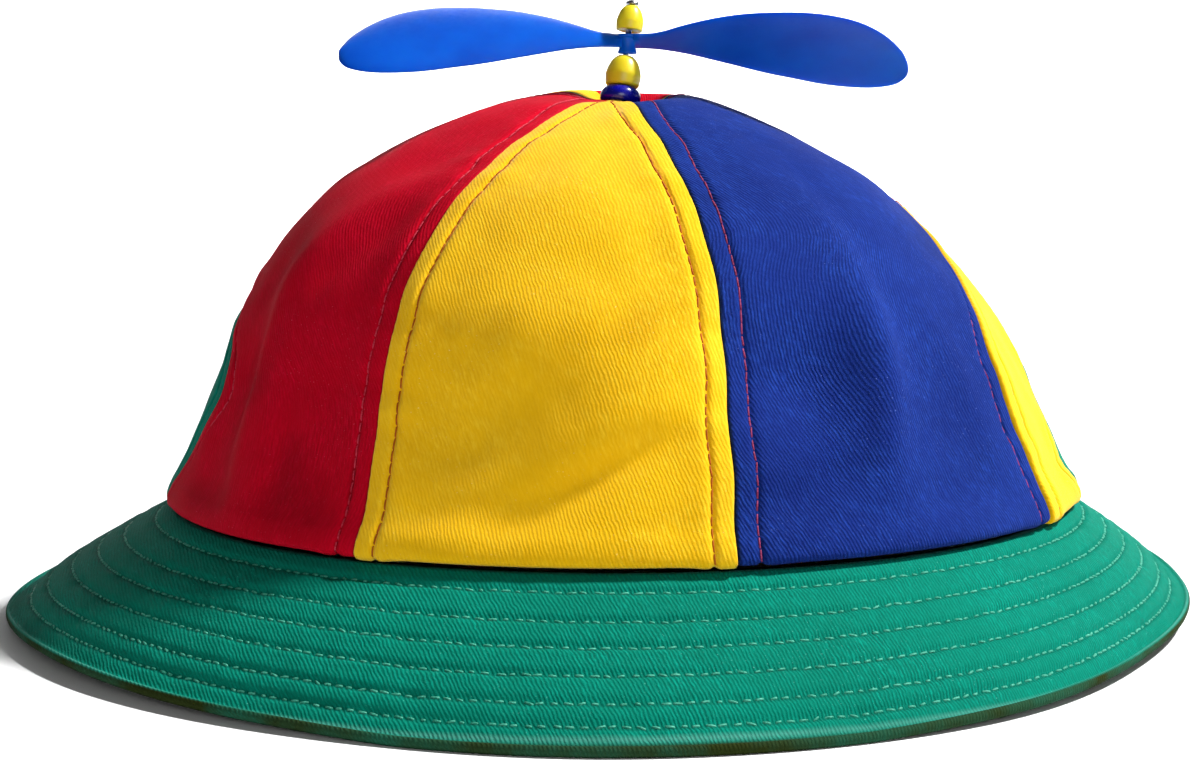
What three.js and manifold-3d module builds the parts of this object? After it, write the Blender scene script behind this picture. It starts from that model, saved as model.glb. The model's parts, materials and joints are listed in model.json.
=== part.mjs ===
// A beanie: a crown of eight sewn twill panels, a flared stitched brim and a two-bladed propeller on top.
// Lengths are in millimetres. Z is up, the front faces -Y, and X runs to the right as the front is seen.
// The origin lies on the surface that the brim rests on, below the middle of the brim.
import * as THREE from "three";
import { mergeVertices } from "three/addons/utils/BufferGeometryUtils.js";
import Module from "manifold-3d";

// Clearances between pieces
const CLEARANCE = 0.3;
const PANEL_GAP = 0.3;

// Crown: the radius and height are to the outside of the cloth, and the height starts at the hem. Dents
// fade out near the hem, below the free height, which is a share of the crown's height.
const CROWN_RADIUS = 94;
const CROWN_HEIGHT = 86.3;
const CROWN_WALL = 1.4;
const DENT_FREE_HEIGHT = 0.12;
const DENT_DEPTH = 3;
const DIMPLE_DEPTH = 3.3;
const DIMPLE_REACH = 9;

// Brim: the width is measured in plan from the crown, and the drop from the hem to the surface below
const BRIM_WIDTH = 36;
const BRIM_DROP = 24;
const BRIM_WALL = 2;
const BRIM_BOW = 1;
const BRIM_FOOT = 3;
const BRIM_SEAM_DEPTH = 3;

// Pin: it leans to the right and to the back, and its foot lies under the cloth
const PIN_LEAN_RIGHT = THREE.MathUtils.degToRad(7.4);
const PIN_LEAN_BACK = THREE.MathUtils.degToRad(12);
const PIN_RADIUS = 0.6;
const PIN_HEAD_RADIUS = 1.45;
const PIN_HEAD_HEIGHT = 1;
const PIN_FOOT_RADIUS = 5;
const PIN_FOOT_THICKNESS = 1;

// Button and beads: heights run along the pin
const BUTTON_RADIUS = 4.25;
const BUTTON_HEIGHT = 2.35;
const BUTTON_TOP_RADIUS = 3.6;
const LOWER_BEAD_RADIUS = 3.7;
const LOWER_BEAD_HEIGHT = 6;
const UPPER_BEAD_RADIUS = 2.85;
const UPPER_BEAD_HEIGHT = 5.2;

// Propeller: a spool-shaped hub and two blades, hung loosely on the pin and so more upright than it
const PROPELLER_LEAN = THREE.MathUtils.degToRad(1.9);
const HUB_ABOVE_BLADES = 1.5;
const HUB_BELOW_BLADES = 2.7;
const HUB_FLARE_RADIUS = 2;
const HUB_WAIST_RADIUS = 1.5;
const HUB_LIP = 0.5;
const HUB_NECK_SHARE = 0.35;
const BLADE_LENGTH = 59.2;
const BLADE_CHORD = 25;
const BLADE_THICKNESS = 1.3;
const BLADE_CAMBER = 1.5;
const BLADE_PITCH = THREE.MathUtils.degToRad(33);

// Fineness of the meshes
const PANEL_COLUMNS = 8;
const PANEL_ROWS = 14;
const ROW_CROWDING = 0.75;
const BRIM_SEGMENTS = 64;
const BRIM_STEPS = 4;
const ROUND_SEGMENTS = 16;
const BEAD_STEPS = 7;
const BLADE_POINTS = 10;

// Points of a mesh nearer together than this are joined into one
const JOIN_DISTANCE = 1e-4;
const SMALLEST_EDGE = 0.02;

// How finely the cloth round the pin is measured, to seat what touches it
const TOP_TURN_STEP = 15;
const TOP_ROWS = 3;
const TOP_STEPS = 12;

// Colours
const RED = 0xc80a28;
const YELLOW = 0xf0be14;
const BLUE = 0x283ca5;
const GREEN = 0x008c70;
const TOY_BLUE = 0x0050be;
const BUTTON_BLUE = 0x0000b4;
const BEAD_YELLOW = 0xe1be1e;
const STEEL = 0xb8bcc0;

// The crown's outline from the hem to the top. Height is a share of the crown's height, and the rest are
// shares of its radius: radius, how far the ring stands forward, and how much fuller it is on the left.
const CROWN_RINGS = [
  { height: 0.0, radius: 1.0, forward: 0.0, fuller: 0.0 },
  { height: 0.02, radius: 1.014, forward: 0.0, fuller: 0.0 },
  { height: 0.055, radius: 1.004, forward: 0.0, fuller: 0.0 },
  { height: 0.1, radius: 0.981, forward: 0.0, fuller: 0.0 },
  { height: 0.2, radius: 0.944, forward: 0.0, fuller: 0.0 },
  { height: 0.345, radius: 0.886, forward: 0.005, fuller: 0.0 },
  { height: 0.49, radius: 0.815, forward: 0.012, fuller: 0.016 },
  { height: 0.64, radius: 0.713, forward: 0.021, fuller: 0.03 },
  { height: 0.765, radius: 0.592, forward: 0.03, fuller: 0.038 },
  { height: 0.865, radius: 0.437, forward: 0.039, fuller: 0.043 },
  { height: 0.935, radius: 0.287, forward: 0.046, fuller: 0.04 },
  { height: 0.983, radius: 0.14, forward: 0.051, fuller: 0.02 },
  { height: 1.0, radius: 0.0, forward: 0.053, fuller: 0.0 },
];

// The panels, each with the seam on its left as the hat is seen from outside. A seam is its turns, in degrees
// to the right of the front, at even steps from the hem to the top.
const PANELS = [
  {
    name: "crown_panel_1",
    colour: GREEN,
    seam: [-130, -130, -130, -129, -127, -123, -118, -113, -109, -108, -125],
  },
  {
    name: "crown_panel_2",
    colour: RED,
    seam: [-81, -74.5, -70, -78.5, -87, -91, -93, -95, -96, -97, -88],
  },
  {
    name: "crown_panel_3",
    colour: YELLOW,
    seam: [-30.5, -30.6, -32.1, -32.7, -32.7, -32.3, -30.9, -30.2, -28.5, -29, -35],
  },
  {
    name: "crown_panel_4",
    colour: BLUE,
    seam: [12.5, 12.6, 13.2, 14.2, 14.3, 13.8, 12.9, 11.2, 7.8, 8, 10],
  },
  {
    name: "crown_panel_5",
    colour: YELLOW,
    seam: [60.5, 60.6, 60.8, 64.3, 76.5, 86, 89, 92, 95, 96, 65],
  },
  {
    name: "crown_panel_6",
    colour: GREEN,
    seam: [80, 76.5, 84, 94, 100, 104, 106, 107, 108, 108, 110],
  },
  {
    name: "crown_panel_7",
    colour: RED,
    seam: [130, 130, 130, 130, 130, 130, 129, 128, 126, 122, 150],
  },
  {
    name: "crown_panel_8",
    colour: YELLOW,
    seam: [180, 180, 181, 184, 190, 198, 207, 216, 225, 226, 195],
  },
];

// Soft dents, and ridges where deep is negative. Turn is in degrees, height a share of the crown's height,
// wide and tall shares of its radius, slant in degrees, and deep a share of the dent depth.
const DENTS = [
  { turn: -18, height: 0.24, wide: 0.16, tall: 0.14, slant: 0, deep: 0.7 },
  { turn: -2, height: 0.2, wide: 0.3, tall: 0.05, slant: 28, deep: 0.5 },
  { turn: 2, height: 0.32, wide: 0.24, tall: 0.07, slant: 24, deep: -0.4 },
  { turn: -8, height: 0.62, wide: 0.2, tall: 0.07, slant: 0, deep: 0.4 },
  { turn: 26, height: 0.36, wide: 0.09, tall: 0.13, slant: -20, deep: 1.0 },
  { turn: 35, height: 0.38, wide: 0.08, tall: 0.2, slant: -12, deep: -0.7 },
  { turn: 46, height: 0.22, wide: 0.14, tall: 0.16, slant: 10, deep: 0.5 },
  { turn: -40, height: 0.4, wide: 0.1, tall: 0.3, slant: 8, deep: 0.5 },
  { turn: -54, height: 0.35, wide: 0.1, tall: 0.32, slant: 12, deep: -0.5 },
  { turn: -62, height: 0.3, wide: 0.07, tall: 0.28, slant: 14, deep: 0.7 },
  { turn: -50, height: 0.86, wide: 0.08, tall: 0.2, slant: -60, deep: 0.7 },
  { turn: 80, height: 0.4, wide: 0.12, tall: 0.22, slant: 0, deep: 0.5 },
  { turn: 128, height: 0.34, wide: 0.2, tall: 0.14, slant: 12, deep: 0.7 },
  { turn: 172, height: 0.42, wide: 0.12, tall: 0.24, slant: -10, deep: 0.7 },
  { turn: 216, height: 0.3, wide: 0.22, tall: 0.12, slant: 14, deep: 0.6 },
  { turn: -98, height: 0.36, wide: 0.12, tall: 0.26, slant: 6, deep: 0.6 },
];

// The brim's wavy edge. Turn is in degrees, reach a share of the brim's width and drop a share of its drop.
// The brim would hang lower than the surface where drop is over 1, so it lies flat there.
const BRIM_WAVES = [
  { turn: -180, reach: 1.0, drop: 1.03 },
  { turn: -150, reach: 1.04, drop: 1.0 },
  { turn: -120, reach: 1.06, drop: 0.93 },
  { turn: -90, reach: 1.0, drop: 0.94 },
  { turn: -60, reach: 0.89, drop: 0.9 },
  { turn: -30, reach: 0.89, drop: 0.96 },
  { turn: 0, reach: 0.99, drop: 1.04 },
  { turn: 30, reach: 0.86, drop: 0.97 },
  { turn: 60, reach: 0.64, drop: 0.93 },
  { turn: 90, reach: 0.72, drop: 0.9 },
  { turn: 120, reach: 0.97, drop: 0.87 },
  { turn: 150, reach: 1.02, drop: 0.98 },
];

// A bead's outline: height is a share of the bead's height, and radius a share of its radius.
const EGG = [
  { height: 0.0, radius: 0.95 },
  { height: 0.2, radius: 0.99 },
  { height: 0.38, radius: 1.0 },
  { height: 0.66, radius: 0.87 },
  { height: 0.86, radius: 0.7 },
  { height: 1.0, radius: 0.47 },
];

// The outline of the pin's head, as shares of the head's own height and radius.
const PIN_HEAD = [
  { height: 0.0, radius: 1.0 },
  { height: 0.5, radius: 0.9 },
  { height: 0.88, radius: 0.55 },
  { height: 1.0, radius: 0.0 },
];

// One blade from its root to its tip. Span is a share of the blade's length, and chord and sweep are shares
// of its chord. Sweep moves the section towards the lower edge.
const BLADE_SECTIONS = [
  { span: 0.1, chord: 0.23, sweep: -0.01 },
  { span: 0.2, chord: 0.41, sweep: -0.05 },
  { span: 0.3, chord: 0.6, sweep: -0.06 },
  { span: 0.4, chord: 0.76, sweep: -0.05 },
  { span: 0.5, chord: 0.88, sweep: -0.02 },
  { span: 0.6, chord: 0.96, sweep: 0.01 },
  { span: 0.7, chord: 1.0, sweep: 0.06 },
  { span: 0.8, chord: 0.95, sweep: 0.12 },
  { span: 0.89, chord: 0.79, sweep: 0.2 },
  { span: 0.96, chord: 0.52, sweep: 0.28 },
  { span: 0.99, chord: 0.27, sweep: 0.32 },
  { span: 1.0, chord: 0.1, sweep: 0.33 },
];
const BLADE_ROOT_CHORD = 0.2;

// Sizes that follow from the ones above
const HOLE_RADIUS = PIN_RADIUS + CLEARANCE;
const CLOTH_HOLE_RADIUS = HOLE_RADIUS + CROWN_WALL * Math.tan(PIN_LEAN_RIGHT + PIN_LEAN_BACK);
const HEM_RADIUS = CROWN_RADIUS * CROWN_RINGS[0].radius;
const BLADE_START = HOLE_RADIUS + CLEARANCE;

// The pin's direction, the propeller's own axis, and the angle between the two
const UP = new THREE.Vector3(0, 0, 1);
const PIN_TURN = new THREE.Euler(-PIN_LEAN_BACK, PIN_LEAN_RIGHT, 0);
const PROPELLER_TURN = new THREE.Euler(0, PROPELLER_LEAN, 0);
const HUB_SLACK = UP.clone().applyEuler(PIN_TURN).angleTo(UP.clone().applyEuler(PROPELLER_TURN));

const wasm = await Module();
wasm.setup();

// Curves through the tables

function cubic(a, b, c, d, t) {
  const rise = (c - a) / 2;
  const fall = (d - b) / 2;
  return ((2 * (b - c) + rise + fall) * t + 3 * (c - b) - 2 * rise - fall) * t * t + rise * t + b;
}

// Reads a column of a table that runs evenly round the hat.
function aroundTable(rows, column, turn) {
  const step = 360 / rows.length;
  const place = (((turn - rows[0].turn) % 360) + 360) / step;
  const first = Math.floor(place);
  const at = (offset) => rows[(first + offset + rows.length) % rows.length][column];
  return cubic(at(-1), at(0), at(1), at(2), place - first);
}

const profile = new THREE.SplineCurve(
  CROWN_RINGS.map((ring) => new THREE.Vector2(ring.radius * CROWN_RADIUS, ring.height * CROWN_HEIGHT)),
);

// Reads a column of the crown's table at a height share.
function crownColumn(column, height) {
  const last = CROWN_RINGS.length - 1;
  let row = 1;
  while (row < last && CROWN_RINGS[row].height < height) {
    row += 1;
  }
  const below = CROWN_RINGS[row - 1];
  const above = CROWN_RINGS[row];
  const t = THREE.MathUtils.clamp((height - below.height) / (above.height - below.height), 0, 1);
  return THREE.MathUtils.lerp(below[column], above[column], t);
}

// Crown

function dentAt(turn, height) {
  let depth = 0;
  for (const dent of DENTS) {
    const away = THREE.MathUtils.degToRad(((turn - dent.turn + 540) % 360) - 180);
    const across = away * crownColumn("radius", height);
    const up = ((height - dent.height) * CROWN_HEIGHT) / CROWN_RADIUS;
    const slant = THREE.MathUtils.degToRad(dent.slant);
    const along = (across * Math.cos(slant) + up * Math.sin(slant)) / dent.wide;
    const over = (up * Math.cos(slant) - across * Math.sin(slant)) / dent.tall;
    depth += dent.deep * Math.exp(-along * along - over * over);
  }
  const hemHold = THREE.MathUtils.smoothstep(height, 0, DENT_FREE_HEIGHT);
  return DENT_DEPTH * depth * hemHold;
}

function dimpleFade(radius) {
  return Math.exp(-((radius / DIMPLE_REACH) ** 4));
}

// A point of the crown: up runs along the outline from 0 at the hem to 1 at the top, and depth goes inwards.
function crownPoint(turn, up, depth) {
  const ring = profile.getPointAt(up);
  const tangent = profile.getTangentAt(up);
  const height = ring.y / CROWN_HEIGHT;
  const angle = THREE.MathUtils.degToRad(turn);
  const fuller = crownColumn("fuller", height) * CROWN_RADIUS * -Math.sin(angle);
  const inward = depth + dentAt(turn, height);
  const radius = Math.max(ring.x + fuller, CLOTH_HOLE_RADIUS) - inward * tangent.y;
  const x = Math.max(radius, CLOTH_HOLE_RADIUS) * Math.sin(angle);
  const y = -Math.max(radius, CLOTH_HOLE_RADIUS) * Math.cos(angle);
  const tilt = x * Math.tan(PIN_LEAN_RIGHT) + y * Math.tan(PIN_LEAN_BACK);
  const z = ring.y + inward * tangent.x - (DIMPLE_DEPTH + tilt) * dimpleFade(radius);
  return new THREE.Vector3(x, y - crownColumn("forward", height) * CROWN_RADIUS, z + BRIM_DROP);
}

function seamTurn(seam, up) {
  const last = seam.length - 1;
  const first = Math.min(Math.floor(up * last), last - 1);
  const at = (step) => seam[THREE.MathUtils.clamp(first + step, 0, last)];
  return cubic(at(-1), at(0), at(1), at(2), up * last - first);
}

// A closed sheet from two grids of points that face each other, as rows of equal length.
function sheetGeometry(outer, inner) {
  const rows = outer.length;
  const columns = outer[0].length;
  const index = [];
  const out = (row, column) => row * columns + column;
  const back = (row, column) => (rows + row) * columns + column;
  const quad = (a, b, c, d) => index.push(a, b, c, a, c, d);
  for (let row = 0; row < rows - 1; row += 1) {
    const above = row + 1;
    const end = columns - 1;
    for (let column = 0; column < end; column += 1) {
      const beside = column + 1;
      quad(out(row, column), out(row, beside), out(above, beside), out(above, column));
      quad(back(row, column), back(above, column), back(above, beside), back(row, beside));
    }
    quad(out(row, 0), out(above, 0), back(above, 0), back(row, 0));
    quad(out(row, end), back(row, end), back(above, end), out(above, end));
  }
  const top = rows - 1;
  for (let column = 0; column < columns - 1; column += 1) {
    const beside = column + 1;
    quad(out(0, column), back(0, column), back(0, beside), out(0, beside));
    quad(out(top, column), out(top, beside), back(top, beside), back(top, column));
  }
  return indexedGeometry([...outer.flat(), ...inner.flat()], index);
}

function indexedGeometry(vertices, index) {
  const geometry = new THREE.BufferGeometry().setFromPoints(vertices);
  geometry.setIndex(index);
  geometry.computeVertexNormals();
  return geometry;
}

// Rows of points lie closer together towards the hem and the top.
function rowUp(row) {
  const even = row / PANEL_ROWS;
  return even - (ROW_CROWDING * Math.sin(2 * Math.PI * even)) / (2 * Math.PI);
}

function panelGeometry(leftSeam, rightSeam) {
  const grid = (depth) => {
    const rows = [];
    for (let row = 0; row <= PANEL_ROWS; row += 1) {
      const up = rowUp(row);
      const radius = Math.max(profile.getPointAt(up).x, CLOTH_HOLE_RADIUS);
      const margin = THREE.MathUtils.radToDeg(PANEL_GAP / 2 / radius);
      const left = seamTurn(leftSeam, up) + margin;
      const right = seamTurn(rightSeam, up) - margin;
      const points = [];
      for (let column = 0; column <= PANEL_COLUMNS; column += 1) {
        points.push(crownPoint(THREE.MathUtils.lerp(left, right, column / PANEL_COLUMNS), up, depth));
      }
      rows.push(points);
    }
    return rows;
  };
  return sheetGeometry(grid(0), grid(CROWN_WALL));
}

// Brim

function brimEdge(turn) {
  return {
    radius: CROWN_RADIUS + BRIM_WIDTH * aroundTable(BRIM_WAVES, "reach", turn),
    lift: Math.max(0, BRIM_DROP * (1 - aroundTable(BRIM_WAVES, "drop", turn))),
  };
}

// The brim's section at one turn, as radius and height, anticlockwise with the radius to the right.
function brimSection(turn) {
  const edge = brimEdge(turn);
  const top = BRIM_DROP - CLEARANCE;
  const start = new THREE.Vector2(HEM_RADIUS, top);
  const end = new THREE.Vector2(edge.radius - BRIM_FOOT, edge.lift + BRIM_WALL);
  const slope = end.clone().sub(start).normalize();
  const down = new THREE.Vector2(slope.y, -slope.x).multiplyScalar(BRIM_WALL);
  const upper = [];
  for (let step = 0; step <= BRIM_STEPS; step += 1) {
    const t = step / BRIM_STEPS;
    const point = start.clone().lerp(end, t);
    point.y += BRIM_BOW * 4 * t * (1 - t);
    upper.push(point);
  }
  const lower = upper.slice(0, -1).map((point) => point.clone().add(down));
  const heel = new THREE.Vector2(edge.radius - BRIM_FOOT, edge.lift);
  const toe = new THREE.Vector2(edge.radius - BRIM_WALL / 4, edge.lift);
  const nose = new THREE.Vector2(edge.radius, edge.lift + BRIM_WALL / 2);
  const brow = new THREE.Vector2(edge.radius - BRIM_WALL / 4, edge.lift + BRIM_WALL);
  const collarTop = new THREE.Vector2(HEM_RADIUS - BRIM_SEAM_DEPTH, top);
  const collarFoot = new THREE.Vector2(HEM_RADIUS - BRIM_SEAM_DEPTH, top - BRIM_WALL);
  return [collarFoot, ...lower, heel, toe, nose, brow, ...upper.reverse(), collarTop];
}

// A closed ring from sections that run round the Z axis.
function ringGeometry(sections) {
  const count = sections[0].length;
  const index = [];
  sections.forEach((section, segment) => {
    const here = segment * count;
    const next = ((segment + 1) % sections.length) * count;
    section.forEach((point, place) => {
      const after = (place + 1) % count;
      index.push(here + place, next + place, next + after, here + place, next + after, here + after);
    });
  });
  return indexedGeometry(sections.flat(), index);
}

function brimGeometry() {
  const sections = [];
  for (let segment = 0; segment < BRIM_SEGMENTS; segment += 1) {
    const turn = (segment * 360) / BRIM_SEGMENTS - 180;
    const angle = THREE.MathUtils.degToRad(turn);
    sections.push(
      brimSection(turn).map((point) => {
        return new THREE.Vector3(point.x * Math.sin(angle), -point.x * Math.cos(angle), point.y);
      }),
    );
  }
  return ringGeometry(sections);
}

// The middle of the brim in plan, which stands over the origin
function brimMiddle() {
  const box = new THREE.Box3().setFromBufferAttribute(brimGeometry().getAttribute("position"));
  return box.getCenter(new THREE.Vector3());
}

// Round pieces on the pin, whose profiles are radius and height along the pin

function turned(points) {
  const geometry = new THREE.LatheGeometry(
    points.map(([radius, height]) => new THREE.Vector2(radius, height)),
    ROUND_SEGMENTS,
  );
  geometry.rotateX(Math.PI / 2);
  return geometry;
}

// A round-shouldered button with a flat top, on which the lower bead sits
function buttonGeometry() {
  const shoulder = BUTTON_RADIUS - BUTTON_TOP_RADIUS;
  const points = [[HOLE_RADIUS, 0]];
  for (let step = 0; step <= BEAD_STEPS; step += 1) {
    const angle = (Math.PI * step) / 2 / BEAD_STEPS;
    points.push([BUTTON_TOP_RADIUS + shoulder * Math.cos(angle), BUTTON_HEIGHT * Math.sin(angle)]);
  }
  return turned([...points, [HOLE_RADIUS, BUTTON_HEIGHT], [HOLE_RADIUS, 0]]);
}

function beadGeometry(radius, height) {
  const outline = new THREE.SplineCurve(
    EGG.map((row) => new THREE.Vector2(row.radius * radius, row.height * height)),
  );
  const points = outline.getPoints(BEAD_STEPS).map((point) => [point.x, point.y]);
  return turned([[HOLE_RADIUS, 0], ...points, [HOLE_RADIUS, height], [HOLE_RADIUS, 0]]);
}

function pinGeometry(footTop, shoulder) {
  const footBottom = footTop - PIN_FOOT_THICKNESS;
  return turned([
    [0, footBottom],
    [PIN_FOOT_RADIUS, footBottom],
    [PIN_FOOT_RADIUS, footTop],
    [PIN_RADIUS, footTop],
    [PIN_RADIUS, shoulder],
    ...PIN_HEAD.map((row) => [row.radius * PIN_HEAD_RADIUS, shoulder + row.height * PIN_HEAD_HEIGHT]),
  ]);
}

// Propeller

function bladeSection(span, chord, sweep) {
  const points = [];
  for (let place = 0; place < BLADE_POINTS; place += 1) {
    const angle = (place * 2 * Math.PI) / BLADE_POINTS;
    const across = (chord * Math.cos(angle)) / 2;
    const camber = BLADE_CAMBER * (chord / BLADE_CHORD) * Math.sin(angle) ** 2;
    const raised = (BLADE_THICKNESS * Math.sin(angle)) / 2 + camber;
    const along = across + sweep;
    points.push(
      new THREE.Vector3(
        span,
        along * Math.cos(BLADE_PITCH) + raised * Math.sin(BLADE_PITCH),
        raised * Math.cos(BLADE_PITCH) - along * Math.sin(BLADE_PITCH),
      ),
    );
  }
  return points;
}

function bladeGeometry() {
  const sections = [bladeSection(BLADE_START, BLADE_ROOT_CHORD * BLADE_CHORD, 0)];
  for (const row of BLADE_SECTIONS) {
    sections.push(bladeSection(row.span * BLADE_LENGTH, row.chord * BLADE_CHORD, row.sweep * BLADE_CHORD));
  }
  const vertices = sections.flat();
  const index = [];
  for (let section = 0; section < sections.length - 1; section += 1) {
    for (let place = 0; place < BLADE_POINTS; place += 1) {
      const here = section * BLADE_POINTS + place;
      const after = section * BLADE_POINTS + ((place + 1) % BLADE_POINTS);
      index.push(here, after, after + BLADE_POINTS, here, after + BLADE_POINTS, here + BLADE_POINTS);
    }
  }
  const tip = (sections.length - 1) * BLADE_POINTS;
  for (let place = 1; place < BLADE_POINTS - 1; place += 1) {
    index.push(0, place + 1, place, tip, tip + place, tip + place + 1);
  }
  return indexedGeometry(vertices, index);
}

// The blades' plane is at the hub's own origin, and its bore opens out at both ends to clear the leaning pin.
function hubGeometry() {
  const flare = HUB_FLARE_RADIUS;
  const top = HUB_ABOVE_BLADES;
  const foot = HUB_BELOW_BLADES;
  const mouthAt = (height) => HOLE_RADIUS + height * Math.tan(HUB_SLACK);
  return turned([
    [HOLE_RADIUS, 0],
    [mouthAt(foot), -foot],
    [flare, -foot],
    [flare, HUB_LIP - foot],
    [HUB_WAIST_RADIUS, -foot * HUB_NECK_SHARE],
    [HUB_WAIST_RADIUS, top * HUB_NECK_SHARE],
    [flare, top - HUB_LIP],
    [flare, top],
    [mouthAt(top), top],
    [HOLE_RADIUS, 0],
  ]);
}

function toSolid(geometry) {
  const bare = geometry.clone();
  bare.deleteAttribute("normal");
  bare.deleteAttribute("uv");
  const merged = mergeVertices(bare, JOIN_DISTANCE);
  return new wasm.Manifold(
    new wasm.Mesh({
      numProp: 3,
      vertProperties: merged.attributes.position.array,
      triVerts: new Uint32Array(merged.index.array),
    }),
  );
}

function fromSolid(solid) {
  const mesh = solid.getMesh();
  const geometry = new THREE.BufferGeometry();
  geometry.setAttribute("position", new THREE.BufferAttribute(mesh.vertProperties, 3));
  geometry.setIndex(new THREE.BufferAttribute(mesh.triVerts, 1));
  geometry.computeVertexNormals();
  return geometry;
}

function propellerGeometry() {
  const right = bladeGeometry();
  const left = bladeGeometry().rotateZ(Math.PI);
  const joined = toSolid(hubGeometry()).add(toSolid(right)).add(toSolid(left));
  return fromSolid(joined.simplify(SMALLEST_EDGE));
}

// Assembly

const hat = new THREE.Group();

function addPiece(parent, name, geometry, colour, roughness, metalness) {
  const material = new THREE.MeshStandardMaterial({ color: colour, roughness, metalness });
  const piece = new THREE.Mesh(geometry, material);
  piece.name = name;
  parent.add(piece);
  return piece;
}

PANELS.forEach((panel, place) => {
  const last = place === PANELS.length - 1;
  const rightSeam = last ? PANELS[0].seam.map((turn) => turn + 360) : PANELS[place + 1].seam;
  addPiece(hat, panel.name, panelGeometry(panel.seam, rightSeam), panel.colour, 0.85, 0);
});
addPiece(hat, "brim", brimGeometry(), GREEN, 0.85, 0);

// What stands on the pin is stacked from the cloth upwards, a clearance apart.
const mast = new THREE.Group();
const top = CROWN_RINGS[CROWN_RINGS.length - 1];
mast.position.set(0, -top.forward * CROWN_RADIUS, BRIM_DROP + CROWN_HEIGHT - DIMPLE_DEPTH);
mast.rotation.copy(PIN_TURN);
hat.add(mast);

// Heights along the pin of the cloth's faces near it: of its outside at depth 0, of its inside at its wall
function clothHeights(reach, depth) {
  const heights = [];
  for (let turn = 0; turn < 360; turn += TOP_TURN_STEP) {
    for (let row = PANEL_ROWS - TOP_ROWS; row < PANEL_ROWS; row += 1) {
      const low = crownPoint(turn, rowUp(row), depth);
      const high = crownPoint(turn, rowUp(row + 1), depth);
      for (let step = 0; step <= TOP_STEPS; step += 1) {
        const point = mast.worldToLocal(low.clone().lerp(high, step / TOP_STEPS));
        if (Math.hypot(point.x, point.y) <= reach) {
          heights.push(point.z);
        }
      }
    }
  }
  return heights;
}

hat.updateMatrixWorld(true);
const buttonSeat = Math.max(...clothHeights(BUTTON_RADIUS, 0)) + CLEARANCE;
const lowerBeadSeat = buttonSeat + BUTTON_HEIGHT + CLEARANCE;
const flareDip = HUB_FLARE_RADIUS * Math.sin(HUB_SLACK);
const hubFoot = lowerBeadSeat + LOWER_BEAD_HEIGHT + CLEARANCE + flareDip;
const hubCentre = hubFoot + HUB_BELOW_BLADES * Math.cos(HUB_SLACK);
const upperBeadSeat = hubCentre + HUB_ABOVE_BLADES * Math.cos(HUB_SLACK) + flareDip + CLEARANCE;
const headSeat = upperBeadSeat + UPPER_BEAD_HEIGHT + CLEARANCE;
const footSeat = Math.min(...clothHeights(PIN_FOOT_RADIUS, CROWN_WALL)) - CLEARANCE;

addPiece(mast, "crown_button", buttonGeometry(), BUTTON_BLUE, 0.12, 0).position.z = buttonSeat;
const lowerBead = beadGeometry(LOWER_BEAD_RADIUS, LOWER_BEAD_HEIGHT);
addPiece(mast, "lower_bead", lowerBead, BEAD_YELLOW, 0.25, 0).position.z = lowerBeadSeat;
const upperBead = beadGeometry(UPPER_BEAD_RADIUS, UPPER_BEAD_HEIGHT);
addPiece(mast, "upper_bead", upperBead, BEAD_YELLOW, 0.25, 0).position.z = upperBeadSeat;
addPiece(mast, "pin", pinGeometry(footSeat, headSeat), STEEL, 0.25, 1);
const propeller = addPiece(hat, "propeller", propellerGeometry(), TOY_BLUE, 0.3, 0);
propeller.position.copy(mast.localToWorld(new THREE.Vector3(0, 0, hubCentre)));
propeller.rotation.copy(PROPELLER_TURN);

const middle = brimMiddle();
hat.position.set(-middle.x, -middle.y, 0);

export default hat;
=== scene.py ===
# The looks of a propeller beanie: sewn twill panels, a stitched brim and a toy propeller on a pin.
# The scene is in metres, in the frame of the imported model. Sizes below are in millimetres, and MM turns
# them into metres. Turn is in degrees to the right of the front.
import json
import math

import bpy
import numpy as np
from mathutils import Matrix, Vector, noise


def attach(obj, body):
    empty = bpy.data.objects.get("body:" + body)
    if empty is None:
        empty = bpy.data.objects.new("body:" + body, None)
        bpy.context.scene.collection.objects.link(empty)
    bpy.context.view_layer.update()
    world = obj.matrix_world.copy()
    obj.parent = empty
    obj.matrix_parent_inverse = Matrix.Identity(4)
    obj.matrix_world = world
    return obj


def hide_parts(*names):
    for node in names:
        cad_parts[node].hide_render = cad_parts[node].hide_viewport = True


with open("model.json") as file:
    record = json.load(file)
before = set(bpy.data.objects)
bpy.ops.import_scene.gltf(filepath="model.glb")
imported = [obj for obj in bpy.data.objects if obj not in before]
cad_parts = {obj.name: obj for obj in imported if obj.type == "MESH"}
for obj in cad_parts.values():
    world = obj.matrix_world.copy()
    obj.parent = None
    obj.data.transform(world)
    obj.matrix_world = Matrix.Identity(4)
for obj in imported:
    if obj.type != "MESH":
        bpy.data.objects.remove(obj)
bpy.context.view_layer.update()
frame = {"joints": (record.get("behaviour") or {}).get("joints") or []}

MM = 0.001

# Sizes that the solids have too
CROWN_RADIUS = 94
CROWN_HEIGHT = 86.3
CLOTH = 1.3
DENT_DEPTH = 3
DENT_FREE_HEIGHT = 0.12
DIMPLE_DEPTH = 3.3
DIMPLE_REACH = 9
BRIM_WIDTH = 36
BRIM_DROP = 24
BRIM_WALL = 2
BRIM_BOW = 1
BRIM_FOOT = 3
BRIM_SEAM_DEPTH = 3
CLEARANCE = 0.3
CLOTH_HOLE_RADIUS = 1.39
PIN_LEAN_RIGHT = math.radians(7.4)
PIN_LEAN_BACK = math.radians(12)
PIN_RADIUS = 0.6
PIN_HEAD_RADIUS = 1.45
PIN_HEAD_HEIGHT = 1
BUTTON_RADIUS = 4.25
BUTTON_HEIGHT = 2.35
LOWER_BEAD_RADIUS = 3.7
LOWER_BEAD_HEIGHT = 6
UPPER_BEAD_RADIUS = 2.85
UPPER_BEAD_HEIGHT = 5.2
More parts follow.
